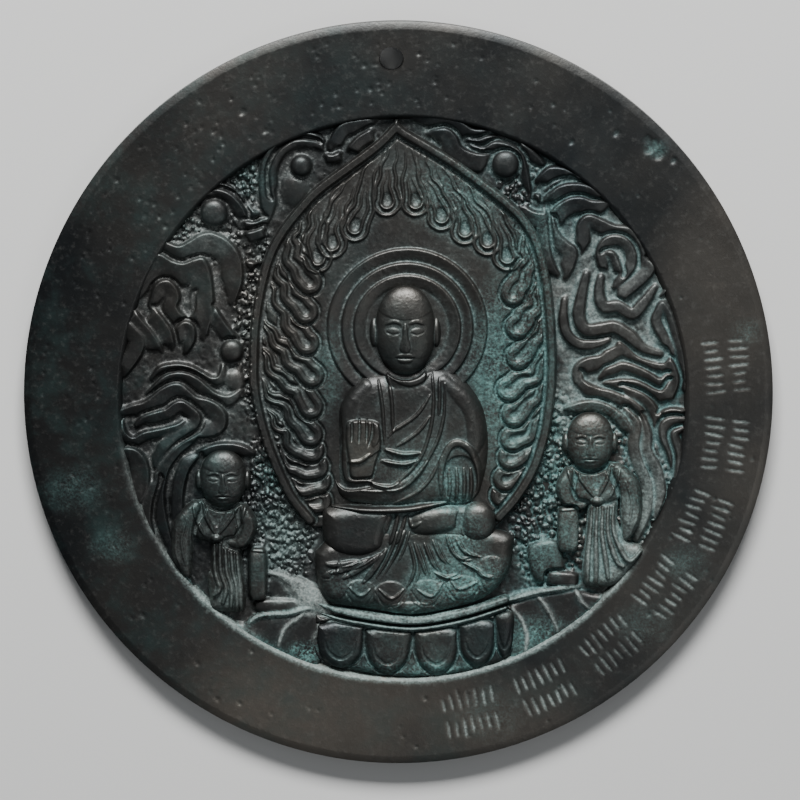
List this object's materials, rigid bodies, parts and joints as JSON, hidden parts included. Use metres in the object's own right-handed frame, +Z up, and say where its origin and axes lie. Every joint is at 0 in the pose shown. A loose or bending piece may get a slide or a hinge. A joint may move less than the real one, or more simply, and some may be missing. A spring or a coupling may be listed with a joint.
{
  "type": "cast bronze votive mirror",
  "caption": "Round cast bronze mirror lying on its plain face, back up: flat rim with a hanging hole round a sunken field with a seated figure, halo, flames and clouds.",
  "frame": {"origin": "middle of the flat underside, which is the mirror's reflecting face", "axes": "+Z up out of the relief on the back, +Y towards the hanging hole, +X to the right of the figures"},
  "size_m": [0.14, 0.14, 0.0068],
  "materials": {
    "bronze": "dark, semi-polished cast bronze with teal and mint corrosion in the recesses; brass stands in for bronze"
  },
  "bodies": {
    "root": {"mirror": "bronze"}
  },
  "joints": []
}
